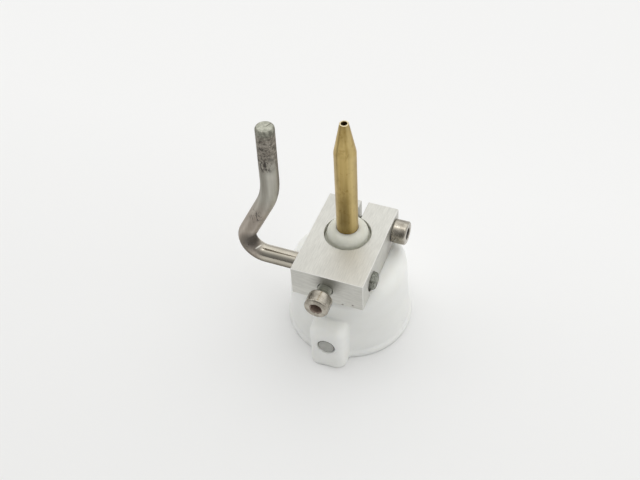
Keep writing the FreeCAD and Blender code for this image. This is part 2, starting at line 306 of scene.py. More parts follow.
def add_thread(bm, thread, start, end, start_radius, end_radius, segments, matrix=Matrix()):
    """A helical thread about Z between two heights. Its ends run out to the given radii."""
    major, root, pitch = thread
    samples = ROWS_PER_PITCH
    rows = math.ceil((end - start) / pitch * samples) + samples
    columns = []
    for column in range(segments):
        turn = column / segments
        angle = 2 * math.pi * turn
        vertices = []
        for row in range(-samples, rows + samples):
            height = start + pitch * (row / samples + turn)
            phase = (row / samples) % 1.0
            wave = min(1.0, max(0.0, FLANK_STEEPNESS * abs(2 * phase - 1) - FLANK_START))
            height = min(end, max(start, height))
            radius = min(
                root + (major - root) * wave,
                start_radius + (height - start),
                end_radius + (end - height))
            place = Vector((radius * math.cos(angle), radius * math.sin(angle), height))
            vertices.append(bm.verts.new(matrix @ place))
        columns.append(vertices)
    for column in range(segments):
        here = columns[column]
        beside = columns[(column + 1) % segments]
        shift = samples if column == segments - 1 else 0
        for row in range(len(here) - 1 - shift):
            bm.faces.new((
                beside[row + shift], beside[row + 1 + shift], here[row + 1], here[row]))


def inset_outline(outline, distance):
    """A closed plan outline moved inwards, its inside being on the left of its direction."""
    count = len(outline)
    moved = []
    for index, point in enumerate(outline):
        before = (point - outline[index - 1]).normalized()
        after = (outline[(index + 1) % count] - point).normalized()
        left_before = Vector((-before.y, before.x, 0))
        left_after = Vector((-after.y, after.x, 0))
        mitre = (left_before + left_after).normalized()
        moved.append(point + mitre * (distance / max(MITRE_LIMIT, mitre.dot(left_before))))
    return moved


def add_slab(bm, outline, base, top, base_round, top_round, steps=4, matrix=Matrix()):
    """A plan outline raised between two heights, its lower and upper edges rounded."""
    levels = []
    for index in range(steps + 1):
        angle = math.pi / 2 * index / steps
        levels.append((base_round * (1 - math.sin(angle)), base + base_round * (1 - math.cos(angle))))
    for index in range(steps + 1):
        angle = math.pi / 2 * index / steps
        levels.append((top_round * (1 - math.cos(angle)), top - top_round * (1 - math.sin(angle))))
    rings = []
    for inset, height in levels:
        ring = inset_outline(outline, inset)
        rings.append([bm.verts.new(matrix @ Vector((p.x, p.y, height))) for p in ring])
    join_rings(bm, rings, closed=False)
    caps = [bm.faces.new(rings[0][::-1]), bm.faces.new(rings[-1])]
    bm.normal_update()
    bmesh.ops.triangulate(bm, faces=caps)


def apply_modifiers(thing):
    """Puts the result of an object's modifiers in place of its mesh."""
    graph = bpy.context.evaluated_depsgraph_get()
    mesh = bpy.data.meshes.new_from_object(thing.evaluated_get(graph))
    old = thing.data
    thing.modifiers.clear()
    thing.data = mesh
    bpy.data.meshes.remove(old)


def combine(thing, tool, operation):
    """Joins an object with a tool or cuts it by the tool, and uses the tool up."""
    modifier = thing.modifiers.new("combine", "BOOLEAN")
    modifier.operation = operation
    modifier.solver = "EXACT"
    modifier.object = tool
    bpy.context.view_layer.update()
    apply_modifiers(thing)
    mesh = tool.data
    bpy.data.objects.remove(tool)
    bpy.data.meshes.remove(mesh)


def shade(thing, sharp_degrees=32):
    """Gives an object smooth shading with its sharp edges kept and its flat faces flat."""
    mesh = thing.data
    mesh.shade_smooth()
    mesh.set_sharp_from_angle(angle=math.radians(sharp_degrees))
    weighted = thing.modifiers.new("weighted_normals", "WEIGHTED_NORMAL")
    weighted.keep_sharp = True
    return thing


def turned_to(position, direction):
    """The matrix that turns Z to a direction and moves the origin to a position."""
    turn = Vector(Z_AXIS).rotation_difference(Vector(direction))
    return Matrix.Translation(position) @ turn.to_matrix().to_4x4()


def finish_piece(thing, body, slot, material, *nodes):
    """Puts a finished piece on its body in place of its CAD nodes."""
    thing.data.materials.clear()
    thing.data.materials.append(material)
    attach(thing, body)
    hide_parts(*nodes)


def drill(thing, radius, mouth, direction, depth, chamfer=HOLE_CHAMFER):
    """Cuts a round hole with a small chamfer at its mouth."""
    bm = bmesh.new()
    profile = [
        (0, -OVERSHOOT),
        (radius + chamfer + OVERSHOOT, -OVERSHOOT),
        (radius, chamfer),
        (radius, depth),
        (0, depth),
    ]
    add_lathe(bm, profile, HOLE_SEGMENTS, matrix=turned_to(mouth, direction))
    combine(thing, make_object("drill", bm), "DIFFERENCE")


# ---------------------------------------------------------------- material helpers

def opaque(value):
    """A number or a colour as red, green, blue and alpha. A socket stays as it is."""
    if isinstance(value, bpy.types.NodeSocket):
        return value
    return (value, value, value, 1) if isinstance(value, (int, float)) else (*value, 1)


class Surface:
    """A material with one Principled shader, and short ways to add nodes to it.
    Where a value is asked for, it can be a node's output or a fixed number, colour or vector."""

    def __init__(self, name, **sockets):
        self.material = bpy.data.materials.new(name)
        self.material.use_nodes = True
        self.tree = self.material.node_tree
        self.shader = self.tree.nodes["Principled BSDF"]
        for socket, value in sockets.items():
            self.set(socket.replace("_", " "), value)
        coordinates = self.node("ShaderNodeTexCoord")
        self.place = coordinates.outputs["Object"]
        self.normal = coordinates.outputs["Normal"]

    def feed(self, target, value):
        """Wires a value to a socket if it is an output, and else sets the socket to it."""
        if isinstance(value, bpy.types.NodeSocket):
            self.tree.links.new(value, target)
        else:
            target.default_value = value

    def set(self, socket, value):
        """Gives one of the shader's sockets its value."""
        self.feed(self.shader.inputs[socket], value)

    def node(self, kind, inputs=None, **settings):
        """A new node with the settings and the input values given."""
        node = self.tree.nodes.new(kind)
        for key, value in settings.items():
            setattr(node, key, value)
        for socket, value in (inputs or {}).items():
            self.feed(node.inputs[socket], value)
        return node

    def noise(self, scale, detail, roughness=0.55, distortion=0.0, offset=(0, 0, 0)):
        """Noise with a scale for each axis, in cycles per millimetre. The offset picks a part."""
        cycles = [value / MM for value in scale]
        mapping = self.node("ShaderNodeMapping", {
            "Vector": self.place, "Scale": cycles, "Location": offset})
        texture = self.node("ShaderNodeTexNoise", {
            "Vector": mapping.outputs["Vector"], "Scale": 1.0, "Detail": detail,
            "Roughness": roughness, "Distortion": distortion})
        return texture.outputs["Fac"]

    def ramp(self, source, *stops):
        """A colour or value ramp from (position, value or colour) stops."""
        ramp = self.node("ShaderNodeValToRGB", {"Fac": source})
        elements = ramp.color_ramp.elements
        while len(elements) < len(stops):
            elements.new(0.5)
        for element, (position, value) in zip(elements, stops):
            element.position = position
            element.color = opaque(value)
        return ramp.outputs["Color"]

    def mix(self, factor, first, second, blend="MIX"):
        """A colour mix of two values. Sockets 6 and 7 of the node are its two colours."""
        inputs = {0: factor, 6: opaque(first), 7: opaque(second)}
        mix = self.node("ShaderNodeMix", inputs, data_type="RGBA", blend_type=blend)
        return mix.outputs[2]

    def tinted(self, colour, tint):
        """A colour multiplied by a tint."""
        return self.mix(1.0, colour, tint, "MULTIPLY")

    def math(self, operation, first, second=0.0, clamp=False):
        """One sum on two values."""
        inputs = {0: first, 1: second}
        return self.node("ShaderNodeMath", inputs, operation=operation, use_clamp=clamp).outputs[0]

    def vectors(self, operation, first, second):
        """One sum on two vectors."""
        inputs = {0: first, 1: second}
        return self.node("ShaderNodeVectorMath", inputs, operation=operation).outputs

    def product(self, *values):
        """All the values multiplied together."""
        return reduce(partial(self.math, "MULTIPLY"), values)

    def strongest(self, *values):
        """The largest of the values."""
        return reduce(partial(self.math, "MAXIMUM"), values)

    def opposite(self, value):
        """One less the value."""
        return self.math("SUBTRACT", 1.0, value, clamp=True)

    def between(self, value, low, high):
        """0 below low, 1 above high, and an even rise between them."""
        inputs = {"Value": value, "From Min": low, "From Max": high}
        return self.node("ShaderNodeMapRange", inputs, clamp=True).outputs[0]

    def near(self, first, second, radius, fade):
        """1 where two places are within a radius of each other and 0 beyond the fade."""
        distance = self.vectors("DISTANCE", first, second)["Value"]
        return self.between(self.math("MULTIPLY", distance, 1 / MM), radius + fade, radius)

    def spot(self, centre, radius, fade):
        """1 within a radius of a point and 0 beyond the fade, all in millimetres."""
        return self.near(self.place, [value * MM for value in centre], radius, fade)

    def stroke(self, start, end, width, fade):
        """1 along a straight scratch between two points, all in millimetres."""
        along = Vector(end) - Vector(start)
        offset = self.vectors("SUBTRACT", self.place, [value * MM for value in start])[0]
        share = self.vectors("DOT_PRODUCT", offset, along / (along.length_squared * MM))["Value"]
        foot = self.node("ShaderNodeVectorMath", {
            0: along * MM, "Scale": self.math("MULTIPLY", share, 1.0, clamp=True)},
            operation="SCALE")
        return self.near(offset, foot.outputs[0], width, fade)

    def towards(self, direction):
        """How far the surface faces a direction, -1 to 1."""
        return self.vectors("DOT_PRODUCT", self.normal, Vector(direction).normalized())["Value"]

    def along(self, direction):
        """The distance from the origin along a direction, in millimetres."""
        unit = Vector(direction).normalized()
        return self.vectors("DOT_PRODUCT", self.place, unit / MM)["Value"]

    def bump(self, height, distance, strength):
        """Surface relief of a height map, its full height in millimetres."""
        bump = self.node("ShaderNodeBump", {
            "Height": height, "Distance": distance * MM, "Strength": strength})
        self.set("Normal", bump.outputs["Normal"])


def moulded_white():
    """Glossy, slightly translucent white moulding with faint flow marks and one dark speck."""
    s = Surface(
        "moulded_white_plastic", Subsurface_Weight=0.5, Specular_IOR_Level=0.5,
        Subsurface_Radius=(1.0, 0.97, 0.88), Subsurface_Scale=0.0025)
    shaded_white = (0.855, 0.860, 0.825)
    clean_white = (0.895, 0.900, 0.870)
    dirt_brown = (0.25, 0.22, 0.17)
    flow = s.noise((0.06, 0.06, 0.14), detail=3, distortion=0.6)
    tint = s.ramp(flow, (0.30, shaded_white), (0.65, clean_white))
    speck = s.spot(CUP_SPECK, 0.10, 0.12)
    s.set("Base Color", s.mix(speck, tint, dirt_brown))
    s.set("Roughness", s.ramp(s.noise((0.12, 0.12, 0.12), detail=2), (0.3, 0.32), (0.7, 0.38)))
    s.bump(s.noise((0.12, 0.12, 0.12), detail=3), 0.06, 0.6)
    return s.material


def sleeve_white():
    """Milky turned fluoropolymer, a little yellow, with faint turning marks."""
    s = Surface(
        "milky_turned_plastic", Subsurface_Weight=0.6,
        Subsurface_Radius=(1.0, 0.97, 0.9), Subsurface_Scale=0.003)
    dark_cream = (0.69, 0.692, 0.605)
    pale_cream = (0.76, 0.762, 0.680)
    cloud = s.noise((0.4, 0.4, 0.6), detail=3)
    turning_marks = s.noise((0.8, 0.8, 6.0), detail=4)
    s.set("Base Color", s.ramp(cloud, (0.3, dark_cream), (0.7, pale_cream)))
    s.set("Roughness", s.ramp(turning_marks, (0.3, 0.34), (0.7, 0.48)))
    s.bump(s.noise((0.15, 0.15, 4.0), detail=3), 0.015, 0.6)
    return s.material


def turned_brass():
    """Satin brass: drawn lines, tarnish, a brown foot, a stripe of painted dark reflection down its
    front, a stripe of painted highlight on its right and a painted highlight on the tip's rim.
    """
    s = Surface("turned_brass", Metallic=1.0)
    dark_brass = (0.47, 0.340, 0.125)
    pale_brass = (0.60, 0.455, 0.190)
    highlight_brass = (0.78, 0.64, 0.33)
    tip_highlight_brass = (0.88, 0.78, 0.55)
    tarnish_tint = (0.74, 0.72, 0.67)
    fleck_tint = (0.78, 0.74, 0.66)
    reflection_stripe_tint = (0.62, 0.60, 0.55)
    foot_tint = (0.7, 0.63, 0.5)
    lines = s.noise((1.5, 1.5, 0.05), detail=4, roughness=0.5)
    blotch = s.noise((0.14, 0.14, 0.09), detail=4, distortion=0.5)
    fleck = s.noise((0.9, 0.9, 0.7), detail=5)
    height = s.along(Z_AXIS)
    colour = s.ramp(lines, (0.30, dark_brass), (0.70, pale_brass))
    colour = s.tinted(colour, s.ramp(blotch, (0.36, tarnish_tint), (0.62, 1.0)))
    colour = s.tinted(colour, s.ramp(fleck, (0.56, 1.0), (0.70, fleck_tint)))
    # Painted reflection: the shank's front between heights 40 and 58 is darkened, as if it mirrored
    # the dim room in front
    front_reflection_side = s.between(s.towards((0.10, -1, 0)), 0.82, 0.97)
    dark_reflection_stripe = s.product(front_reflection_side, s.between(height, 58, 40), 0.75)
    colour = s.mix(dark_reflection_stripe, colour, s.tinted(colour, reflection_stripe_tint))
    # Painted highlight: the shank's right side is lightened as a bright reflection
    highlight_side = s.between(s.towards((0.84, -0.54, 0)), 0.90, 0.99)
    colour = s.mix(s.product(highlight_side, 0.35), colour, highlight_brass)
    foot = s.between(s.math("ADD", height, s.product(fleck, 1.5)), 38.5, 36.0)
    colour = s.mix(s.product(foot, 0.7), colour, s.tinted(colour, foot_tint))
    # Painted highlight: the upward facing rim of the tip is lightened
    tip_highlight = s.between(height, ELECTRODE_HIGH.z - 0.5, ELECTRODE_HIGH.z - 0.1)
    tip_highlight = s.product(tip_highlight, s.between(s.towards(Z_AXIS), 0.3, 0.8), 0.7)
    s.set("Base Color", s.mix(tip_highlight, colour, tip_highlight_brass))
    s.set("Roughness", s.ramp(blotch, (0.3, 0.40), (0.7, 0.30)))
    s.bump(s.mix(0.3, lines, fleck), 0.012, 0.5)
    return s.material


def brushed_aluminium():
    """Drawn bar: fine lines along Y, milled end faces, edges brightened by painted highlight and
    wear, two dents painted as dark spots of shade and a painted shadow beside the clamp screw's head.
    """
    s = Surface("brushed_aluminium", Metallic=1.0)
    dark_line = (0.615, 0.609, 0.570)
    pale_line = (0.700, 0.693, 0.650)
    edge_highlight_and_wear = (0.90, 0.89, 0.87)
    dent_shade_brown = (0.16, 0.13, 0.12)
    head_shadow_brown = (0.30, 0.25, 0.25)
    brushed = s.noise((3.2, 0.30, 3.2), detail=5, roughness=0.68)
    milled = s.noise((0.35, 1.0, 2.2), detail=5, roughness=0.6)
    end_face = s.between(s.math("ABSOLUTE", s.towards(Y_AXIS)), 0.6, 0.9)
    grain = s.mix(end_face, brushed, milled)
    cloud = s.noise((0.16, 0.07, 0.16), detail=3, distortion=0.4)
    colour = s.ramp(grain, (0.34, dark_line), (0.66, pale_line))
    colour = s.tinted(colour, s.ramp(cloud, (0.34, 0.94), (0.66, 1.0)))

    # Painted highlight, partly edge wear: a thin bright line along every edge of the block
    middle = (BLOCK_LOW + BLOCK_HIGH) / 2
    half = (BLOCK_HIGH - BLOCK_LOW) / 2
    nearness = 0.0
    for axis, centre, reach in zip((X_AXIS, Y_AXIS, Z_AXIS), middle, half):
        offset = s.math("ABSOLUTE", s.math("SUBTRACT", s.along(axis), centre))
        nearness = s.math("ADD", s.between(offset, reach - 0.30, reach - 0.08), nearness)
    near_two_faces = s.between(nearness, 1.2, 1.9)
    colour = s.mix(s.product(near_two_faces, 0.6), colour, edge_highlight_and_wear)

    # Painted shade: the two small dents are drawn only as dark spots, without a hollow
    dents = s.strongest(*(s.spot(centre, radius, 0.25) for centre, radius in BLOCK_DENTS))
    colour = s.mix(s.product(dents, 0.8), colour, dent_shade_brown)
    # Painted shadow: a brownish darkening on the right face beside the clamp screw's head
    head_shadow = s.product(s.spot(CLAMP_HEAD_SHADOW, 1.2, 2.6), s.between(cloud, 0.2, 0.6), 0.6)
    s.set("Base Color", s.mix(head_shadow, colour, head_shadow_brown))
    s.set("Roughness", s.ramp(grain, (0.35, 0.54), (0.65, 0.46)))
    s.bump(grain, 0.008, 0.5)
    return s.material


def screw_steel(name, face_centre, direction, socket_shade_colour):
    """Warm grey stainless, darkened inside the socket by painted shade, and duller on the thread."""
    s = Surface(name, Metallic=1.0)
    dark_steel = (0.30, 0.272, 0.227)
    pale_steel = (0.54, 0.505, 0.437)
    thread_grey = (0.33, 0.34, 0.295)
    cloud = s.noise((0.5, 0.5, 0.5), detail=5)
    fine = s.noise((2.5, 2.5, 2.5), detail=4)
    outward = Vector(direction)
    mouth = Vector(face_centre)
    socket = s.stroke(mouth - outward * 0.1, mouth - outward * (SOCKET_DEPTH + 1), 1.72, 0.1)
    head_base = outward.dot(face_centre) - HEAD_HEIGHT
    thread = s.between(s.along(outward), head_base + 0.05, head_base - 0.15)
    colour = s.ramp(cloud, (0.34, dark_steel), (0.66, pale_steel))
    # Painted shade: the socket's inside takes a dark colour and less metal, standing in for its
    # shadow
    colour = s.mix(s.product(socket, 0.85), colour, socket_shade_colour)
    s.set("Base Color", s.mix(s.product(thread, 0.8), colour, thread_grey))
    shiny = s.ramp(fine, (0.3, 0.20), (0.7, 0.32))
    s.set("Roughness", s.mix(s.strongest(socket, thread), shiny, 0.42))
    s.set("Metallic", s.opposite(s.product(socket, 0.85)))
    s.bump(fine, 0.008, 0.5)
    return s.material


def dull_steel():
    """Matt grey sawn end of a steel dowel, with painted shade round its rim."""
    s = Surface("dull_dowel_steel", Metallic=0.85)
    dark_grey = (0.38, 0.38, 0.355)
    pale_grey = (0.50, 0.50, 0.475)
    rim_shade_black = (0.10, 0.095, 0.08)
    cloud = s.noise((0.7, 0.7, 0.7), detail=5)
    colour = s.ramp(cloud, (0.3, dark_grey), (0.7, pale_grey))
    # Painted shade: the rounded rim is darkened where the gap round the dowel would be in shadow
    rim = s.between(s.math("ABSOLUTE", s.towards(Y_AXIS)), 0.985, 0.93)
    s.set("Base Color", s.mix(s.product(rim, 0.95), colour, rim_shade_black))
    s.set("Roughness", s.ramp(cloud, (0.3, 0.46), (0.7, 0.62)))
    s.bump(s.noise((0.5, 3.0, 3.0), detail=4), 0.02, 0.6)
    return s.material


def plated_steel():
    """Bright zinc plating on the washers and the nut."""
    s = Surface("plated_steel", Metallic=1.0)
    dark_zinc = (0.52, 0.53, 0.53)
    pale_zinc = (0.70, 0.71, 0.70)
    cloud = s.noise((0.8, 0.8, 0.8), detail=5)
    s.set("Base Color", s.ramp(cloud, (0.3, dark_zinc), (0.7, pale_zinc)))
    s.set("Roughness", s.ramp(cloud, (0.3, 0.26), (0.7, 0.42)))
    s.bump(s.noise((2.5, 2.5, 2.5), detail=4), 0.015, 0.5)
    return s.material


def rod_metal(s, wobble, shift, mottle):
    """The rod's bare steel. Gives its colour, where it is bright, and where painted shade, broken up
    like tarnish, darkens its sides and underside.
    """
    dark_satin = (0.43, 0.412, 0.365)
    pale_satin = (0.55, 0.538, 0.480)
    dark_bright = (0.47, 0.435, 0.365)
    pale_bright = (0.57, 0.532, 0.455)
    pink_tint = (0.98, 0.90, 0.88)
    # This tint darkens the painted shade on the rod's sides and underside
    tarnish_tint = (0.25, 0.22, 0.17)
    height = s.along(Z_AXIS)
    left = s.along((-1, 0, 0))
    lines = s.noise((1.6, 1.6, 0.10), detail=4)
    satin = s.ramp(s.mix(0.5, wobble, lines), (0.36, dark_satin), (0.64, pale_satin))
    pinkish = s.between(height, 52, 44)
    satin = s.mix(pinkish, satin, s.tinted(satin, pink_tint))
    bright = s.ramp(wobble, (0.3, dark_bright), (0.7, pale_bright))
    bright_part = s.product(
        s.between(s.math("SUBTRACT", left, shift), 23.5, 20.5),
        s.between(height, ROD_LOW.z + 8, ROD_LOW.z + 5.5))
    metal = s.mix(bright_part, satin, bright)

    # Painted shade, broken up like tarnish: the rod's right and left sides and its underside are
    # darkened and dulled by the way they face
    right_edge = s.between(s.towards((0.92, 0.40, 0)), 0.74, 0.96)
    left_edge = s.between(s.towards((-0.92, -0.40, 0)), 0.84, 1.0)
    underside = s.between(s.towards((-0.3, -0.75, -0.6)), 0.64, 0.94)
    shade_and_tarnish = s.strongest(right_edge, underside, s.product(left_edge, 0.5))
    shade_and_tarnish = s.product(shade_and_tarnish, s.between(s.mix(0.5, wobble, mottle), 0.05, 0.40), 0.95)
    return s.mix(shade_and_tarnish, metal, s.tinted(metal, tarnish_tint)), bright_part, shade_and_tarnish


def rod_soot(s, shift, mottle):
    """The soot at the rod's top with its pale scuffs. Gives its colour and where it lies."""
    soot_black = (0.055, 0.047, 0.038)
    soot_brown = (0.200, 0.172, 0.138)
    soot_grey = (0.380, 0.350, 0.298)
    scuff_grey = (0.47, 0.45, 0.38)
    height = s.along(Z_AXIS)
    sooty = s.product(
        s.between(s.math("ADD", height, s.product(shift, 0.4)), SOOT_FOOT - 0.6, SOOT_FOOT + 1.6),
        s.between(s.math("ADD", height, s.product(shift, 0.3)), ROD_TOP.z + 0.6, ROD_TOP.z - 1.4))
    clean_side = s.product(
        s.between(s.towards((0.80, -0.60, 0)), 0.70, 0.98),
        s.between(height, SOOT_FOOT + 6, SOOT_FOOT + 2))
    sooty = s.product(sooty, s.opposite(s.product(clean_side, 0.6)))
    rings = s.noise((0.35, 0.35, 3.0), detail=5, roughness=0.7, distortion=0.5)
    soot = s.ramp(
        s.mix(0.45, mottle, rings), (0.42, soot_black), (0.50, soot_brown), (0.58, soot_grey))
    scuffs = s.noise((2.0, 2.0, 0.40), detail=3, roughness=0.6, distortion=0.4, offset=(7, 3, 0))
    scuffed_side = s.between(s.towards((-0.55, -0.83, 0)), 0.60, 0.90)
    scuffs = s.product(scuffed_side, s.between(scuffs, 0.57, 0.61), 0.8)
    return s.mix(scuffs, soot, scuff_grey), sooty


def rod_flecks(s, mottle):
    """Where the rod has black flecks, and where painted shade darkens the inside of its low bend."""
    height = s.along(Z_AXIS)
    streaks = s.noise((1.7, 1.7, 0.55), detail=4, roughness=0.6, distortion=0.5)
    foot_band = s.product(
        s.between(height, SOOT_FOOT + 0.2, SOOT_FOOT + 1.0),
        s.between(height, SOOT_FOOT + 6.0, SOOT_FOOT + 3.6),
        s.between(s.towards((-0.10, -1, 0)), 0.45, 0.85))
    foot_flecks = s.product(foot_band, s.between(streaks, 0.48, 0.54))
    slope_flecks = s.product(s.spot(SLOPE_FLECKS, 1.3, 1.8), s.between(streaks, 0.54, 0.58))
    bend_flecks = s.product(s.spot(BEND_FLECKS, 0.6, 1.4), s.between(mottle, 0.56, 0.62))
    # Painted shade: a mottled dark patch inside the low bend, where the two arms close in
    bend_shade = s.product(s.spot(BEND_SHADE, 1.6, 2.6), s.between(mottle, 0.12, 0.40))
    return s.strongest(foot_flecks, slope_flecks, bend_flecks), bend_shade


def rod_steel():
    """Earth rod: bright by the block, satin on the arm, sooty at the top, with painted shade in the
    low bend and on its sides.
    """
    s = Surface("heat_stained_stainless")
    bend_shade_brown = (0.070, 0.059, 0.048)
    fleck_black = (0.040, 0.032, 0.026)
    scratch_brown = (0.10, 0.09, 0.07)
    nick_white = (0.86, 0.85, 0.78)
    height = s.along(Z_AXIS)
    wobble = s.noise((0.22, 0.22, 0.22), detail=4)
    shift = s.product(s.math("SUBTRACT", wobble, 0.5), 7.0)
    mottle = s.noise((1.3, 1.3, 0.9), detail=5, roughness=0.72, distortion=0.5)
    colour, bright_part, shade_and_tarnish = rod_metal(s, wobble, shift, mottle)
    soot, sooty = rod_soot(s, shift, mottle)
    flecks, bend_shade = rod_flecks(s, mottle)
    rim = s.between(height, ROD_TOP.z - 2.8, ROD_TOP.z - 1.0)
    cap = s.product(
        s.between(s.towards(Z_AXIS), 0.85, 0.98),
        s.between(height, ROD_TOP.z - 1.5, ROD_TOP.z - 0.9))
    scratch = s.product(cap, s.stroke(*TOP_SCRATCH, 0.08, 0.10))
    cut_end = s.between(s.along(X_AXIS), BLOCK_HIGH.x - 0.3, BLOCK_HIGH.x)
    layers = (
        (s.product(sooty, 0.92), soot),
        (s.product(rim, 0.9),
         s.ramp(mottle, (0.42, (0.15, 0.15, 0.115)), (0.58, (0.33, 0.33, 0.27)))),
        (s.product(bend_shade, 0.9), bend_shade_brown),
        (s.product(flecks, 0.85), fleck_black),
        (cap, s.ramp(mottle, (0.40, (0.35, 0.35, 0.29)), (0.6, (0.56, 0.56, 0.475)))),
        (s.product(scratch, 0.8), scratch_brown),
        (cut_end, s.ramp(mottle, (0.40, (0.12, 0.125, 0.10)), (0.6, (0.40, 0.41, 0.36)))),
        (s.stroke(*BEND_NICK, 0.10, 0.18), nick_white),
    )
    for amount, paint in layers:
        colour = s.mix(amount, colour, paint)
    s.set("Base Color", colour)
    dirt_and_bend_shade = s.strongest(sooty, bend_shade, flecks, cut_end, rim)
    gloss = s.mix(bright_part, 0.50, 0.16)
    s.set("Roughness", s.mix(s.strongest(dirt_and_bend_shade, shade_and_tarnish), gloss, 0.65))
    s.set("Metallic", s.opposite(s.strongest(s.product(dirt_and_bend_shade, 0.7), s.product(shade_and_tarnish, 0.6))))
    s.bump(s.mix(sooty, wobble, mottle), 0.05, 0.5)
    return s.material


def pale_floor():
    """Smooth pale studio floor, made a little greyer towards the front by painted shade standing in
    for the light's falloff.
    """
    s = Surface("pale_studio_floor", Roughness=0.9, Specular_IOR_Level=0.1)
    front_shade_grey = (0.815, 0.815, 0.812)
    back_grey = (0.885, 0.885, 0.884)
    depth = s.between(s.along(Y_AXIS), -90, 60)
    s.set("Base Color", s.ramp(depth, (0.0, front_shade_grey), (1.0, back_grey)))
    return s.material


# ---------------------------------------------------------------- pieces

def make_bell():
    """The cup's solid bell, before its boss and cavity."""
    top = CUP_HIGH.z
    bm = bmesh.new()
    add_lathe(bm, rounded([
        (0, 0, 0),
        (CUP_HIGH.x, 0, 0.5),
        (CUP_HIGH.x, LIP_HEIGHT, 0.7),
        (CUP_BASE_RADIUS, LIP_HEIGHT, 0.5),
        (CUP_TOP_RADIUS, top - CUP_SHOULDER, 0),
        (CUP_TOP_RADIUS, top, CUP_SHOULDER - 0.01),
        (0, top, 0),
    ]), CUP_SEGMENTS)
    return make_object("insulator_cup_moulding", bm)


def make_boss(turn):
    """The boss, turned to its place on the bell."""
    outline = rounded([
        (-BOSS_HALF_WIDTH, -BOSS_REACH, BOSS_CORNER),
        (BOSS_HALF_WIDTH, -BOSS_REACH, BOSS_CORNER),
        (BOSS_HALF_WIDTH, -BOSS_ROOT, 0),
        (-BOSS_HALF_WIDTH, -BOSS_ROOT, 0),
    ], closed=True)
    bm = bmesh.new()
    add_slab(bm, outline, 0, BOSS_HEIGHT, BOSS_BASE_ROUND, BOSS_TOP_ROUND, steps=6, matrix=turn)
    return make_object("boss", bm)


def make_cavity():
    """The space inside the cup: the register step, the cavity and the spigot's hole."""
    above = CUP_HIGH.z + OVERSHOOT
    spigot_hole = SPIGOT_RADIUS + FIT_GAP
    bm = bmesh.new()
    add_lathe(bm, rounded([
        (0, -OVERSHOOT, 0),
        (REGISTER_RADIUS, -OVERSHOOT, 0),
        (REGISTER_RADIUS, REGISTER_DEPTH, 0),
        (CAVITY_RADIUS, REGISTER_DEPTH, 0),
        (CAVITY_RADIUS, CUP_CEILING, CAVITY_ROUND),
        (spigot_hole, CUP_CEILING, 0),
        (spigot_hole, above, 0),
        (0, above, 0),
    ]), CUP_SEGMENTS)
    return make_object("cavity", bm)


def make_cup():
    """The bell with its boss and cavity, all edges softened as in a moulding."""
    turn = Matrix.Rotation(BOSS_TURN, 4, "Z")
    cup = make_bell()
    combine(cup, make_boss(turn), "UNION")
    combine(cup, make_cavity(), "DIFFERENCE")
    mouth = turn @ Vector((0, -BOSS_REACH, (PIN_LOW.z + PIN_HIGH.z) / 2))
    inward = turn @ Vector(Y_AXIS)
    drill(cup, PIN_RADIUS + FIT_GAP, mouth, inward, BOSS_REACH - PIN_HOLE_END, chamfer=0.1)
    remesh = cup.modifiers.new("remesh", "REMESH")
    remesh.mode = "VOXEL"
    remesh.voxel_size = CUP_VOXEL * MM
    soften = cup.modifiers.new("soften", "SMOOTH")
    soften.factor = 0.5
    soften.iterations = 5
    apply_modifiers(cup)
    cup.data.shade_smooth()
    finish_piece(cup, "insulator", "moulded_white", moulded_white(), "insulator_cup")


def make_pin():
    """The dowel through the boss."""
    length = BOSS_REACH - PIN_RECESS - PIN_INNER_END
    centre = (PIN_LOW.z + PIN_HIGH.z) / 2
    turn = Matrix.Rotation(BOSS_TURN, 4, "Z")
    bm = bmesh.new()
    profile = rounded([
        (0, 0, 0),
        (PIN_RADIUS, 0, PIN_END_ROUND),
        (PIN_RADIUS, length, PIN_END_ROUND),
        (0, length, 0),
    ])
    matrix = turn @ turned_to(Vector((0, -PIN_INNER_END, centre)), (0, -1, 0))
    add_lathe(bm, profile, TURNED_SEGMENTS, matrix=matrix)
    pin = shade(make_object("locating_pin_dowel", bm))
    finish_piece(pin, "insulator", "pin_steel", dull_steel(), "locating_pin")


def make_sleeve():
    """The domed insulating sleeve."""
    bm = bmesh.new()
    shank_bore = SHANK_RADIUS + FIT_GAP
    thread_bore = M5[0] + FIT_GAP
    profile = rounded([
        (thread_bore, SLEEVE_LOW.z, 0),
        (SPIGOT_RADIUS, SLEEVE_LOW.z, 0.2),
        (SPIGOT_RADIUS, CUP_HIGH.z, 0),
        (NECK_RADIUS, CUP_HIGH.z, 0.1),
        (NECK_RADIUS, NECK_TOP, 0.15),
        (CAP_RADIUS, CAP_BASE, 0.15),
        (CAP_RADIUS, SLEEVE_HIGH.z, CAP_ROUND),
        (shank_bore, SLEEVE_HIGH.z, 0.1),
        (shank_bore, ELECTRODE_SHOULDER, 0),
        (thread_bore, ELECTRODE_SHOULDER, 0),
    ], closed=True)
    add_lathe(bm, profile, SLEEVE_SEGMENTS, closed=True)
    sleeve = shade(make_object("insulating_sleeve_turning", bm))
    finish_piece(sleeve, "insulator", "sleeve_white", sleeve_white(), "insulating_sleeve")


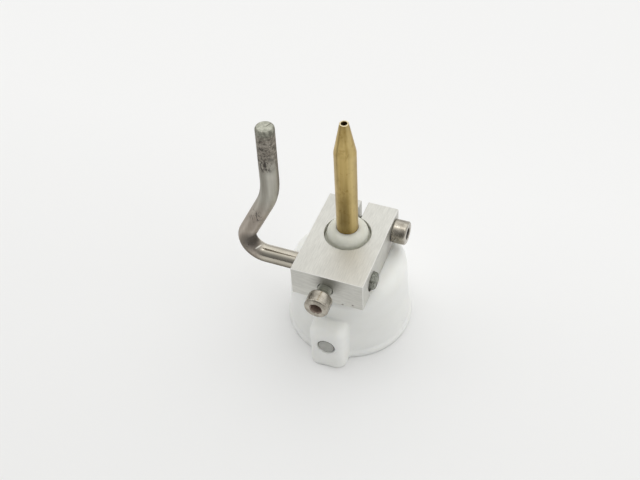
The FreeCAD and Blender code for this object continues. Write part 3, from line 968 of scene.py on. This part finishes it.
def make_electrode():
    """The brass electrode, from its terminal stud to the hole in its tip."""
    tip = ELECTRODE_HIGH.z
    stud_root = M5[1]
    bm = bmesh.new()
    add_lathe(bm, rounded([
        (0, ELECTRODE_LOW.z, 0),
        (TERMINAL_RADIUS, ELECTRODE_LOW.z, 0.45),
        (TERMINAL_RADIUS, TERMINAL_TOP, 0),
        (stud_root, TERMINAL_TOP, 0),
    ]), TURNED_SEGMENTS)
    add_thread(bm, M5, TERMINAL_TOP, WASHER_LOW.z, stud_root, stud_root, TURNED_SEGMENTS)
    add_lathe(bm, rounded([
        (stud_root, WASHER_LOW.z, 0),
        (M5[0], WASHER_LOW.z + M5_RUN_IN, 0),
        (M5[0], ELECTRODE_SHOULDER, 0),
        (SHANK_RADIUS, ELECTRODE_SHOULDER, 0.15),
        (SHANK_RADIUS, CONE_BASE, CONE_ROUND),
        (TIP_RADIUS, tip, 0.15),
        (TIP_HOLE_RADIUS + 0.12, tip, 0.05),
        (TIP_HOLE_RADIUS, tip - 0.2, 0),
        (TIP_HOLE_RADIUS, tip - TIP_HOLE_DEPTH, 0),
        (0, tip - TIP_HOLE_DEPTH - 0.4, 0),
    ]), TURNED_SEGMENTS)
    electrode = shade(make_object("centre_electrode_turning", bm))
    finish_piece(electrode, "insulator", "electrode_brass", turned_brass(), "centre_electrode")


def make_washer(steel):
    """The plain washer under the cup's ceiling."""
    bore = M5[0] + WASHER_BORE_GAP
    bm = bmesh.new()
    profile = rounded([
        (bore, WASHER_LOW.z, 0.1),
        (WASHER_HIGH.x, WASHER_LOW.z, 0.15),
        (WASHER_HIGH.x, WASHER_HIGH.z, 0.15),
        (bore, WASHER_HIGH.z, 0.1),
    ], closed=True)
    add_lathe(bm, profile, TURNED_SEGMENTS, closed=True)
    washer = shade(make_object("electrode_washer_plain", bm))
    finish_piece(washer, "insulator", "hardware_steel", steel, "electrode_washer")


def make_spring_washer(steel):
    """The split spring washer, its two ends leaning."""
    bore = M5[0] + WASHER_BORE_GAP
    bm = bmesh.new()
    rings = []
    section = rounded([
        (bore, SPRING_LOW.z, 0.1),
        (SPRING_HIGH.y, SPRING_LOW.z, 0.12),
        (SPRING_HIGH.y, SPRING_HIGH.z, 0.12),
        (bore, SPRING_HIGH.z, 0.1),
    ], closed=True)
    for index in range(TURNED_SEGMENTS + 1):
        angle = SPRING_SPLIT / 2 + (2 * math.pi - SPRING_SPLIT) * index / TURNED_SEGMENTS
        ring = []
        for point in section:
            turn = angle + SPRING_LEAN * (point.y - SPRING_LOW.z) * math.cos(angle / 2)
            place = Vector((point.x * math.cos(turn), point.x * math.sin(turn), point.y))
            ring.append(bm.verts.new(place))
        rings.append(ring)
    join_rings(bm, rings, closed=False)
    bm.faces.new(rings[0][::-1])
    bm.faces.new(rings[-1])
    spring = shade(make_object("electrode_spring_washer_split", bm))
    finish_piece(spring, "insulator", "hardware_steel", steel, "electrode_spring_washer")


def make_nut(steel):
    """The hexagon nut, its corners falling away to round faces."""
    bm = bmesh.new()
    flat = NUT_HIGH.y
    low, high = NUT_LOW.z, NUT_HIGH.z
    bore = M5[0] + FIT_GAP
    mouth = M5[0] + 0.35
    face = flat - 0.15
    add_lathe(bm, [
        (bore, low + NUT_CHAMFER),
        (mouth, low),
        (face, low),
        (flat, low + NUT_CORNER_FALL, 6),
        (flat, high - NUT_CORNER_FALL, 6),
        (face, high),
        (mouth, high),
        (bore, high - NUT_CHAMFER),
    ], TURNED_SEGMENTS, closed=True)
    nut = shade(make_object("electrode_nut_hexagon", bm), 24)
    finish_piece(nut, "insulator", "hardware_steel", steel, "electrode_nut")


def make_hardware():
    """The plain washer, the split washer and the nut, all of one plated steel."""
    steel = plated_steel()
    make_washer(steel)
    make_spring_washer(steel)
    make_nut(steel)


def make_block():
    """The slotted clamp block with its bores, chamfers and softened edges."""
    left, right = BLOCK_LOW.x, BLOCK_HIGH.x
    front, back = BLOCK_LOW.y, BLOCK_HIGH.y
    slot_left = SLOT_X - SLOT_WIDTH / 2
    slot_right = SLOT_X + SLOT_WIDTH / 2
    bore_start = math.acos(slot_right / BORE_RADIUS)
    bore_end = math.acos(slot_left / BORE_RADIUS) - 2 * math.pi
    bore = []
    for index in range(TURNED_SEGMENTS + 1):
        angle = bore_start + (bore_end - bore_start) * index / TURNED_SEGMENTS
        bore.append((BORE_RADIUS * math.cos(angle), BORE_RADIUS * math.sin(angle), 0))
    outline = rounded([
        (left, front, BLOCK_CORNER),
        (right, front, BLOCK_CORNER),
        (right, back, BLOCK_CORNER),
        (slot_right, back, BLOCK_CORNER),
        *bore,
        (slot_left, back, BLOCK_CORNER),
        (left, back, BLOCK_CORNER),
    ], closed=True)
    bm = bmesh.new()
    add_slab(bm, outline, BLOCK_LOW.z, BLOCK_HIGH.z, BLOCK_EDGE_ROUND, BLOCK_EDGE_ROUND)
    block = make_object("clamp_block_machined", bm)
    rod_mouth = Vector((left, ROD_Y + ROD_RADIUS + FIT_GAP - ROD_HOLE_RADIUS, ROD_Z))
    drill(block, ROD_HOLE_RADIUS, rod_mouth, X_AXIS, right - left + OVERSHOOT)
    screw_mouth = Vector((ROD_SCREW_X, front, ROD_SCREW_Z))
    drill(block, M4[0] + FIT_GAP, screw_mouth, Y_AXIS, ROD_Y - front)
    right_mouth = Vector((right, CLAMP_SCREW_Y, CLAMP_SCREW_Z))
    drill(block, CLAMP_CLEARANCE_RADIUS, right_mouth, (-1, 0, 0), right - SLOT_X)
    left_mouth = Vector((left, CLAMP_SCREW_Y, CLAMP_SCREW_Z))
    drill(block, M4[0] + FIT_GAP, left_mouth, X_AXIS, SLOT_X - left)
    shade(block)
    finish_piece(block, "clamp", "block_aluminium", brushed_aluminium(), "clamp_block")


def make_screw(node, head_face, direction, tip_distance, socket_shade_colour):
    """An M4 socket head screw with a helical thread, from its head's face to its tip."""
    root = M4[1]
    outward = Vector(direction)
    matrix = turned_to(head_face - outward * HEAD_HEIGHT, direction)
    length = tip_distance - HEAD_HEIGHT
    bm = bmesh.new()
    add_lathe(bm, [(0, -length), (SCREW_TIP_RADIUS, -length)], SCREW_SEGMENTS, matrix=matrix)
    add_thread(bm, M4, -length, 0, SCREW_TIP_RADIUS, root, SCREW_SEGMENTS, matrix)
    head = [(point.x, point.y) for point in rounded([
        (root, 0, 0),
        (HEAD_RADIUS - 0.1, 0, 0.1),
        (HEAD_RADIUS, 0.3, 0.2),
        (HEAD_RADIUS, HEAD_HEIGHT, 0.5),
        (SOCKET_MOUTH_RADIUS, HEAD_HEIGHT, 0),
    ])]
    floor = HEAD_HEIGHT - SOCKET_DEPTH
    socket = [
        (SOCKET_FLAT, HEAD_HEIGHT - 0.3, 6),
        (SOCKET_FLAT, floor, 6),
        (0, floor - SOCKET_CONE),
    ]
    add_lathe(bm, head + socket, SCREW_SEGMENTS, matrix=matrix)
    screw = shade(make_object(node + "_socket_head", bm))
    steel = screw_steel(node + "_stainless", head_face, direction, socket_shade_colour)
    finish_piece(screw, node, "screw_steel", steel, node)


def make_screws():
    """The rod's set screw and the clamp's closing screw."""
    rod_screw_face = Vector((ROD_SCREW_X, ROD_SCREW_LOW.y, ROD_SCREW_Z))
    # Painted shade for the inside of each socket
    socket_shade_brown = (0.30, 0.22, 0.18)
    make_screw(
        "rod_screw", rod_screw_face, (0, -1, 0), ROD_SCREW_HIGH.y - ROD_SCREW_LOW.y, socket_shade_brown)
    clamp_screw_face = Vector((CLAMP_SCREW_HIGH.x, CLAMP_SCREW_Y, CLAMP_SCREW_Z))
    socket_shadow_black = (0.035, 0.030, 0.025)
    make_screw(
        "clamp_screw", clamp_screw_face, X_AXIS, CLAMP_SCREW_HIGH.x - CLAMP_SCREW_LOW.x, socket_shadow_black)


def rod_stations(path):
    """Points along the rod's middle line with the rod's radius at each, its ends rounded."""
    steps = 6
    end_sections = [(0, 0.0)]
    for step in range(steps + 1):
        angle = math.pi / 2 * step / steps
        inward = ROD_END_ROUND * (1 - math.cos(angle))
        end_sections.append((inward, ROD_RADIUS - ROD_END_ROUND * (1 - math.sin(angle))))
    first = (path[1] - path[0]).normalized()
    last = (path[-1] - path[-2]).normalized()
    stations = [(path[0] + first * inward, radius) for inward, radius in end_sections]
    stations += [(point, ROD_RADIUS) for point in path[1:-1]]
    stations += [(path[-1] - last * inward, radius) for inward, radius in end_sections[::-1]]
    return stations


def make_rod():
    """The bent earth rod with its rounded ends."""
    path = rounded([
        (ROD_HIGH.x, ROD_Y, ROD_Z, 0),
        (ROD_LOW_CORNER_X, ROD_Y, ROD_Z, ROD_LOW_BEND),
        (ROD_HIGH_CORNER_X, ROD_Y, ROD_HIGH_CORNER_Z, ROD_HIGH_BEND),
        (*ROD_TOP, 0),
    ], step=ROD_ARC_STEP)
    stations = rod_stations(path)
    bm = bmesh.new()
    rings = []
    side = Vector(Y_AXIS)
    for index, (point, radius) in enumerate(stations):
        if radius < POINT_RADIUS:
            rings.append([bm.verts.new(point)])
            continue
        up = (stations[index + 1][0] - stations[index - 1][0]).normalized().cross(side)
        ring = []
        for step in range(ROD_SEGMENTS):
            angle = 2 * math.pi * step / ROD_SEGMENTS
            offset = side * (radius * math.cos(angle)) + up * (radius * math.sin(angle))
            ring.append(bm.verts.new(point + offset))
        rings.append(ring)
    join_rings(bm, rings, closed=False)
    rod = shade(make_object("ignition_rod_bent", bm))
    finish_piece(rod, "rod", "rod_steel", rod_steel(), "ignition_rod")


# ---------------------------------------------------------------- studio

def make_floor():
    """A wide flat floor under the cup."""
    bm = bmesh.new()
    bmesh.ops.create_grid(bm, x_segments=8, y_segments=8, size=FLOOR_REACH)
    floor = make_object("studio_floor", bm)
    floor.data.materials.append(pale_floor())


def make_lamp():
    """A long lamp tube high above the part, facing it."""
    data = bpy.data.lights.new("lamp_tube", "AREA")
    data.shape = "RECTANGLE"
    data.size, data.size_y = LAMP_SIZE
    data.energy = LAMP_WATTS
    lamp = bpy.data.objects.new("lamp_tube", data)
    lamp.location = LAMP_PLACE
    lamp.rotation_euler = (LAMP_TARGET - LAMP_PLACE).to_track_quat("-Z", "Y").to_euler()
    bpy.context.scene.collection.objects.link(lamp)


def make_studio():
    """A light tent: brightest overhead, dimmest low down in front, with a lamp tube above."""
    tent_white = (1.0, 1.0, 0.99, 1)
    low_front = (-0.1, -0.97, 0.2)
    world = bpy.data.worlds.new("studio")
    world.use_nodes = True
    tree = world.node_tree
    background = tree.nodes["Background"]
    direction = tree.nodes.new("ShaderNodeTexCoord")

    def brightness(axis, start, end, from_value, to_value):
        """A smooth change of brightness with how far a direction points along an axis."""
        share = tree.nodes.new("ShaderNodeVectorMath")
        share.operation = "DOT_PRODUCT"
        share.inputs[1].default_value = Vector(axis).normalized()
        tree.links.new(direction.outputs["Generated"], share.inputs[0])
        change = tree.nodes.new("ShaderNodeMapRange")
        change.interpolation_type = "SMOOTHSTEP"
        change.inputs["From Min"].default_value = start
        change.inputs["From Max"].default_value = end
        change.inputs["To Min"].default_value = from_value
        change.inputs["To Max"].default_value = to_value
        tree.links.new(share.outputs["Value"], change.inputs["Value"])
        return change.outputs["Result"]

    strength = tree.nodes.new("ShaderNodeMath")
    strength.operation = "MULTIPLY"
    tree.links.new(brightness(Z_AXIS, -0.1, 1.1, 0.55, 1.42), strength.inputs[0])
    tree.links.new(brightness(low_front, 0.2, 0.95, 1.0, 0.30), strength.inputs[1])
    tree.links.new(strength.outputs[0], background.inputs["Strength"])
    background.inputs["Color"].default_value = tent_white
    bpy.context.scene.world = world
    make_lamp()


def make_camera():
    """The photograph's view: a camera turned about its own axis and looking a little aside."""
    back = Vector((
        math.sin(CAMERA_AZIMUTH) * math.cos(CAMERA_ELEVATION),
        -math.cos(CAMERA_AZIMUTH) * math.cos(CAMERA_ELEVATION),
        math.sin(CAMERA_ELEVATION)))
    right = (-back).cross(Vector(Z_AXIS)).normalized()
    up = right.cross(-back)
    target = CAMERA_AIM + right * CAMERA_OFFSET_RIGHT + up * CAMERA_OFFSET_UP
    rolled_right = right * math.cos(CAMERA_ROLL) + up * math.sin(CAMERA_ROLL)
    rolled_up = up * math.cos(CAMERA_ROLL) - right * math.sin(CAMERA_ROLL)
    data = bpy.data.cameras.new("photo_camera")
    data.lens = CAMERA_LENS
    data.sensor_width = CAMERA_SENSOR
    data.clip_start = 0.01
    data.clip_end = 20
    camera = bpy.data.objects.new("photo_camera", data)
    axes = Matrix((rolled_right, rolled_up, back)).transposed()
    camera.matrix_world = Matrix.Translation(
        (target + back * CAMERA_DISTANCE) * MM) @ axes.to_4x4()
    bpy.context.scene.collection.objects.link(camera)
    bpy.context.scene.camera = camera


bpy.context.scene.view_settings.view_transform = "Standard"
make_camera()
make_studio()
make_floor()
make_cup()
make_pin()
make_sleeve()
make_electrode()
make_hardware()
make_block()
make_screws()
make_rod()

bpy.context.view_layer.update()
